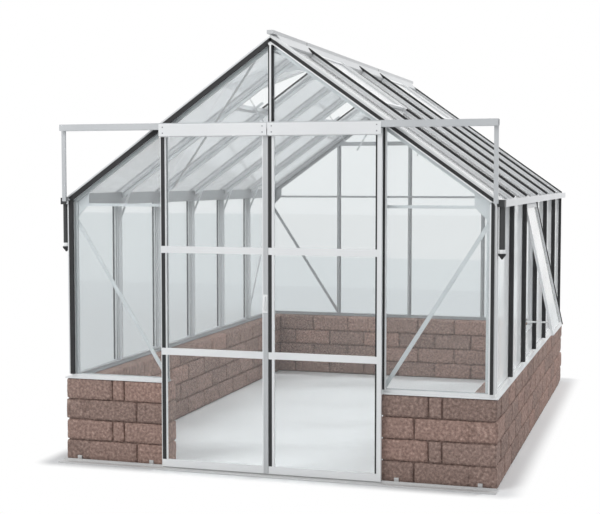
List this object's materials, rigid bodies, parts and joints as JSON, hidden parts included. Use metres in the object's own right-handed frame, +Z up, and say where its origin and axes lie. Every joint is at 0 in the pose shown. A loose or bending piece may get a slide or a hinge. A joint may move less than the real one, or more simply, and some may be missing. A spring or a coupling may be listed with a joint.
{
  "type": "greenhouse",
  "caption": "Glazed aluminium greenhouse on a dwarf block wall with double sliding doors, hinged roof vents, a top-hung side window, gutters and downpipes.",
  "frame": {"origin": "middle of the door threshold, on the underside of the ground rail at ground level", "axes": "+Z up, +Y from the doors to the rear gable along the ridge, +X to the right seen from the doors"},
  "size_m": [3.29, 4.6534, 2.9748],
  "materials": {
    "wall_left": "rough split face",
    "wall_right": "rough split face",
    "wall_rear": "rough split face",
    "wall_front_left": "rough split face",
    "wall_front_right": "rough split face",
    "ground_rail": "satin",
    "sill": "satin",
    "front_gable_frame_left": "satin",
    "front_gable_frame_right": "satin",
    "rear_gable_frame_left": "satin",
    "rear_gable_frame_right": "satin",
    "rib_1": "satin",
    "rib_2": "satin",
    "rib_3": "satin",
    "rib_4": "satin",
    "rib_5": "satin",
    "door_jamb_left": "satin",
    "door_jamb_right": "satin",
    "door_header": "satin",
    "rear_mullion_left": "satin",
    "rear_mullion_centre": "satin",
    "rear_mullion_right": "satin",
    "eave_gutter_left": "satin",
    "eave_gutter_right": "satin",
    "ridge": "satin",
    "downpipe_left": "satin",
    "downpipe_right": "satin",
    "wall_glass_left": "clear",
    "wall_glass_right": "clear",
    "roof_glass_left": "clear",
    "roof_glass_right": "clear",
    "front_gable_glass": "clear",
    "rear_gable_glass": "clear",
    "door_glass_left": "clear",
    "door_glass_right": "clear",
    "vent_left_front_glass": "clear",
    "vent_left_rear_glass": "clear",
    "vent_right_front_glass": "clear",
    "vent_right_rear_glass": "clear",
    "window_glass": "clear",
    "roof_brace_left": "satin",
    "door_track": "satin",
    "door_frame_left": "satin",
    "door_frame_right": "satin",
    "door_handle": "satin",
    "roller_left_left": "satin",
    "roller_left_right": "satin",
    "roller_right_left": "satin",
    "roller_right_right": "satin",
    "vent_left_front": "satin",
    "vent_left_rear": "satin",
    "vent_right_front": "satin",
    "vent_right_rear": "satin",
    "window": "satin",
    "vent_left_front_stay": "satin",
    "vent_left_rear_stay": "satin",
    "vent_right_front_stay": "satin",
    "vent_right_rear_stay": "satin",
    "window_stay": "satin"
  },
  "bodies": {
    "greenhouse": {"wall_left": "wall_left", "wall_right": "wall_right", "wall_rear": "wall_rear", "wall_front_left": "wall_front_left", "wall_front_right": "wall_front_right", "ground_rail": "ground_rail", "sill": "sill", "front_gable_frame_left": "front_gable_frame_left", "front_gable_frame_right": "front_gable_frame_right", "rear_gable_frame_left": "rear_gable_frame_left", "rear_gable_frame_right": "rear_gable_frame_right", "rib_1": "rib_1", "rib_2": "rib_2", "rib_3": "rib_3", "rib_4": "rib_4", "rib_5": "rib_5", "door_jamb_left": "door_jamb_left", "door_jamb_right": "door_jamb_right", "door_header": "door_header", "rear_mullion_left": "rear_mullion_left", "rear_mullion_centre": "rear_mullion_centre", "rear_mullion_right": "rear_mullion_right", "eave_gutter_left": "eave_gutter_left", "eave_gutter_right": "eave_gutter_right", "ridge": "ridge", "downpipe_left": "downpipe_left", "downpipe_right": "downpipe_right", "wall_glass_left": "wall_glass_left", "wall_glass_right": "wall_glass_right", "roof_glass_left": "roof_glass_left", "roof_glass_right": "roof_glass_right", "front_gable_glass": "front_gable_glass", "rear_gable_glass": "rear_gable_glass", "roof_brace_left": "roof_brace_left", "door_track": "door_track"},
    "door_left": {"door_frame_left": "door_frame_left", "door_glass_left": "door_glass_left", "door_handle": "door_handle"},
    "door_right": {"door_frame_right": "door_frame_right", "door_glass_right": "door_glass_right"},
    "roller_left_left_wheel": {"roller_left_left": "roller_left_left"},
    "roller_left_right_wheel": {"roller_left_right": "roller_left_right"},
    "roller_right_left_wheel": {"roller_right_left": "roller_right_left"},
    "roller_right_right_wheel": {"roller_right_right": "roller_right_right"},
    "vent_left_front_light": {"vent_left_front": "vent_left_front", "vent_left_front_glass": "vent_left_front_glass"},
    "vent_left_front_arm": {"vent_left_front_stay": "vent_left_front_stay"},
    "vent_left_rear_light": {"vent_left_rear": "vent_left_rear", "vent_left_rear_glass": "vent_left_rear_glass"},
    "vent_left_rear_arm": {"vent_left_rear_stay": "vent_left_rear_stay"},
    "vent_right_front_light": {"vent_right_front": "vent_right_front", "vent_right_front_glass": "vent_right_front_glass"},
    "vent_right_front_arm": {"vent_right_front_stay": "vent_right_front_stay"},
    "vent_right_rear_light": {"vent_right_rear": "vent_right_rear", "vent_right_rear_glass": "vent_right_rear_glass"},
    "vent_right_rear_arm": {"vent_right_rear_stay": "vent_right_rear_stay"},
    "window_light": {"window": "window", "window_glass": "window_glass"},
    "window_arm": {"window_stay": "window_stay"}
  },
  "joints": [
    {"name": "door_left_slide", "type": "slide", "parent": "greenhouse", "child": "door_left", "axis": [-1, 0, 0], "range_m": [0, 0.7]},
    {"name": "door_right_slide", "type": "slide", "parent": "greenhouse", "child": "door_right", "axis": [1, 0, 0], "range_m": [0, 0.7]},
    {"name": "roller_left_left_spin", "type": "hinge", "parent": "door_left", "child": "roller_left_left_wheel", "pos_m": [-0.653, 0.0359, 2.3434], "axis": [0, 1, 0], "range_deg": [-3120, 0]},
    {"name": "roller_left_right_spin", "type": "hinge", "parent": "door_left", "child": "roller_left_right_wheel", "pos_m": [-0.121, 0.0359, 2.3434], "axis": [0, 1, 0], "range_deg": [-3120, 0]},
    {"name": "roller_right_left_spin", "type": "hinge", "parent": "door_right", "child": "roller_right_left_wheel", "pos_m": [0.121, 0.0359, 2.3434], "axis": [0, 1, 0], "range_deg": [0, 3120]},
    {"name": "roller_right_right_spin", "type": "hinge", "parent": "door_right", "child": "roller_right_right_wheel", "pos_m": [0.653, 0.0359, 2.3434], "axis": [0, 1, 0], "range_deg": [0, 3120]},
    {"name": "vent_left_front_hinge", "type": "hinge", "parent": "greenhouse", "child": "vent_left_front_light", "pos_m": [-0.07402, 1.214, 2.88598], "axis": [0, 1, 0], "range_deg": [-15.5, 19.5]},
    {"name": "vent_left_front_arm_pivot", "type": "hinge", "parent": "vent_left_front_light", "child": "vent_left_front_arm", "pos_m": [-0.58592, 1.214, 2.67306], "axis": [0, 1, 0], "range_deg": [-35, 35]},
    {"name": "vent_left_rear_hinge", "type": "hinge", "parent": "greenhouse", "child": "vent_left_rear_light", "pos_m": [-0.07402, 3.446, 2.88598], "axis": [0, 1, 0], "range_deg": [-15.5, 19.5]},
    {"name": "vent_left_rear_arm_pivot", "type": "hinge", "parent": "vent_left_rear_light", "child": "vent_left_rear_arm", "pos_m": [-0.58592, 3.446, 2.67306], "axis": [0, 1, 0], "range_deg": [-35, 35]},
    {"name": "vent_right_front_hinge", "type": "hinge", "parent": "greenhouse", "child": "vent_right_front_light", "pos_m": [0.07402, 1.214, 2.88598], "axis": [0, -1, 0], "range_deg": [0, 35]},
    {"name": "vent_right_front_arm_pivot", "type": "hinge", "parent": "vent_right_front_light", "child": "vent_right_front_arm", "pos_m": [0.5104, 1.214, 2.544], "axis": [0, -1, 0], "range_deg": [-35, 35]},
    {"name": "vent_right_rear_hinge", "type": "hinge", "parent": "greenhouse", "child": "vent_right_rear_light", "pos_m": [0.07402, 3.446, 2.88598], "axis": [0, -1, 0], "range_deg": [0, 35]},
    {"name": "vent_right_rear_arm_pivot", "type": "hinge", "parent": "vent_right_rear_light", "child": "vent_right_rear_arm", "pos_m": [0.5104, 3.446, 2.544], "axis": [0, -1, 0], "range_deg": [-35, 35]},
    {"name": "window_hinge", "type": "hinge", "parent": "greenhouse", "child": "window_light", "pos_m": [1.503, 1.958, 1.7985], "axis": [0, -1, 0], "range_deg": [-12.5, 11.5]},
    {"name": "window_arm_pivot", "type": "hinge", "parent": "window_light", "child": "window_arm", "pos_m": [1.68183, 1.958, 0.87635], "axis": [0, -1, 0], "range_deg": [-24, 24]}
  ],
  "couplings": [
    {"joint": "roller_left_left_spin", "follows": "door_left_slide", "rad_per_m": -76.923},
    {"joint": "roller_left_right_spin", "follows": "door_left_slide", "rad_per_m": -76.923},
    {"joint": "roller_right_left_spin", "follows": "door_right_slide", "rad_per_m": 76.923},
    {"joint": "roller_right_right_spin", "follows": "door_right_slide", "rad_per_m": 76.923},
    {"joint": "vent_left_front_arm_pivot", "follows": "vent_left_front_hinge", "ratio": -1},
    {"joint": "vent_left_rear_arm_pivot", "follows": "vent_left_rear_hinge", "ratio": -1},
    {"joint": "vent_right_front_arm_pivot", "follows": "vent_right_front_hinge", "ratio": -1},
    {"joint": "vent_right_rear_arm_pivot", "follows": "vent_right_rear_hinge", "ratio": -1},
    {"joint": "window_arm_pivot", "follows": "window_hinge", "ratio": -1}
  ]
}
